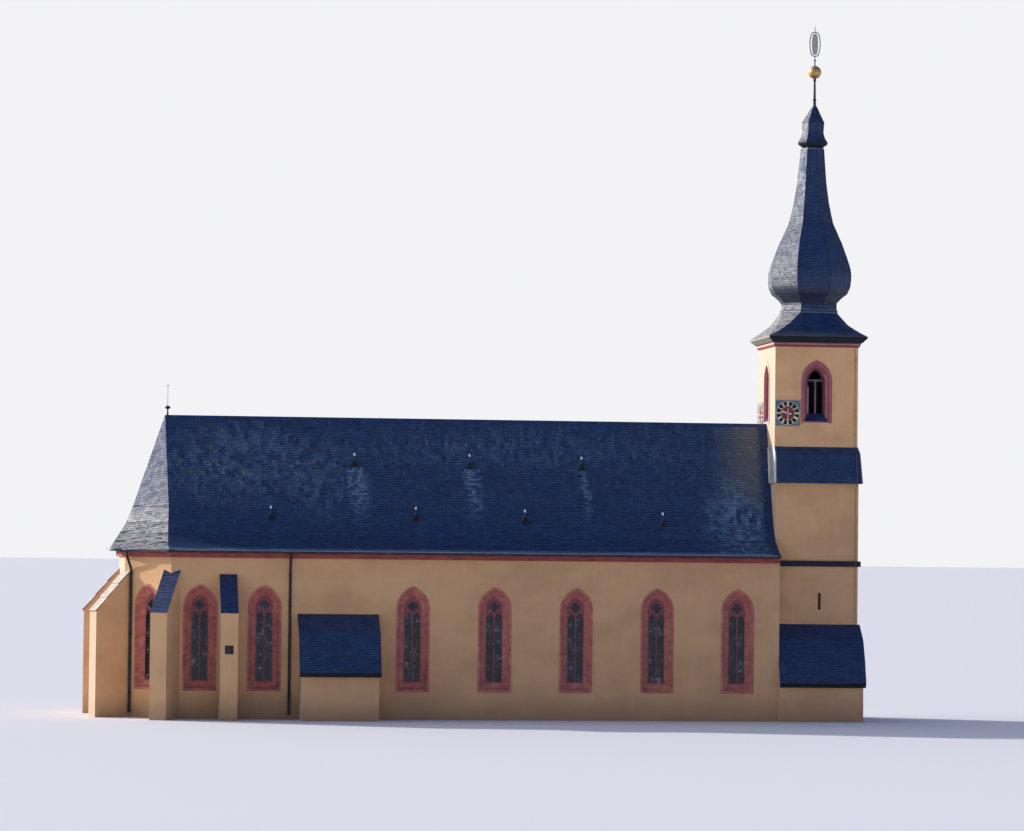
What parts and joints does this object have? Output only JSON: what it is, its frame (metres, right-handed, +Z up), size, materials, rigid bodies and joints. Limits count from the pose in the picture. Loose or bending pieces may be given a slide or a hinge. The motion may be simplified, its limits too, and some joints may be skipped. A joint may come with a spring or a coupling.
{
  "type": "village church with a tower and onion spire, 1:2 scale model",
  "caption": "Old village church at half size: hollow tower with an onion spire, long slated nave, buttressed polygonal choir, open bell windows and clocks whose hands turn.",
  "frame": {"origin": "on the nave's axis, on the underside of the nave floor, which is ground level", "axes": "+X runs west along the nave towards the tower, -Y is the north side with the lean-to rooms, +Z is up"},
  "size_m": [25.2187, 7.1805, 22.86],
  "materials": {
    "lime_plaster": "rough ochre lime plaster, weathered",
    "red_sandstone": "tooled red sandstone",
    "roof_slate": "blue-grey roofing slates with lichen",
    "leaded_glass": "small leaded panes",
    "floor_stone": "worn flagstones",
    "rain_metal": "dark weathered sheet metal",
    "wrought_iron": "dull black iron",
    "gilded_metal": "gilding with patches of dark patina",
    "dial_paint": "painted sheet with gilded bars",
    "oak_boards": "dark oiled boards"
  },
  "bodies": {
    "church": {"choir_north_wall": "lime_plaster", "nave_north_wall": "lime_plaster", "choir_south_wall": "lime_plaster", "nave_south_wall": "lime_plaster", "apse_north_east_wall": "lime_plaster", "apse_north_east_glass": "leaded_glass", "apse_east_wall": "lime_plaster", "apse_east_glass": "leaded_glass", "apse_south_east_wall": "lime_plaster", "apse_south_east_glass": "leaded_glass", "choir_north_glass": "leaded_glass", "choir_south_glass": "leaded_glass", "nave_north_glass": "leaded_glass", "nave_south_glass": "leaded_glass", "nave_floor": "floor_stone", "tower_floor": "floor_stone", "main_roof": "roof_slate", "west_gable_wall": "lime_plaster", "eaves_cornice": "red_sandstone", "eaves_gutter": "rain_metal", "ridge_finial": "wrought_iron", "buttress_north": "lime_plaster", "buttress_north_east": "lime_plaster", "buttress_south_east": "lime_plaster", "buttress_south": "lime_plaster", "buttress_choir_north": "lime_plaster", "buttress_choir_south": "lime_plaster", "downpipe_nave_north": "rain_metal", "downpipe_nave_south": "rain_metal", "downpipe_apse_north": "rain_metal", "downpipe_apse_south": "rain_metal", "tower_lower_stage": "lime_plaster", "west_door": "oak_boards", "tower_string_course": "red_sandstone", "tower_skirt_roof": "roof_slate", "tower_cornice": "red_sandstone", "tower_upper_stage": "lime_plaster", "bell_window_north": "red_sandstone", "bell_window_east": "red_sandstone", "bell_window_south": "red_sandstone", "bell_window_west": "red_sandstone", "spire_foot": "roof_slate", "spire": "roof_slate", "spire_cap": "roof_slate", "spire_finial": "gilded_metal", "clock_north_dial": "dial_paint", "clock_east_dial": "dial_paint", "vestry_roof": "roof_slate", "vestry_walls": "lime_plaster", "annex_roof": "roof_slate", "annex_walls": "lime_plaster"},
    "north_hour_hand": {"clock_north_hour_hand": "gilded_metal"},
    "north_minute_hand": {"clock_north_minute_hand": "gilded_metal"},
    "east_hour_hand": {"clock_east_hour_hand": "gilded_metal"},
    "east_minute_hand": {"clock_east_minute_hand": "gilded_metal"}
  },
  "joints": [
    {"name": "clock_north_minute", "type": "hinge", "parent": "church", "child": "north_minute_hand", "pos_m": [9.97, -1.42, 9.98], "axis": [0, 1, 0], "continuous": true},
    {"name": "clock_north_hour", "type": "hinge", "parent": "church", "child": "north_hour_hand", "pos_m": [9.97, -1.41, 9.98], "axis": [0, 1, 0], "continuous": true},
    {"name": "clock_east_minute", "type": "hinge", "parent": "church", "child": "east_minute_hand", "pos_m": [9.505, 0.955, 9.98], "axis": [1, 0, 0], "continuous": true},
    {"name": "clock_east_hour", "type": "hinge", "parent": "church", "child": "east_hour_hand", "pos_m": [9.515, 0.955, 9.98], "axis": [1, 0, 0], "continuous": true}
  ],
  "couplings": [
    {"joint": "clock_north_hour", "follows": "clock_north_minute", "ratio": 0.083333},
    {"joint": "clock_east_minute", "follows": "clock_north_minute", "ratio": 1},
    {"joint": "clock_east_hour", "follows": "clock_north_minute", "ratio": 0.083333}
  ]
}
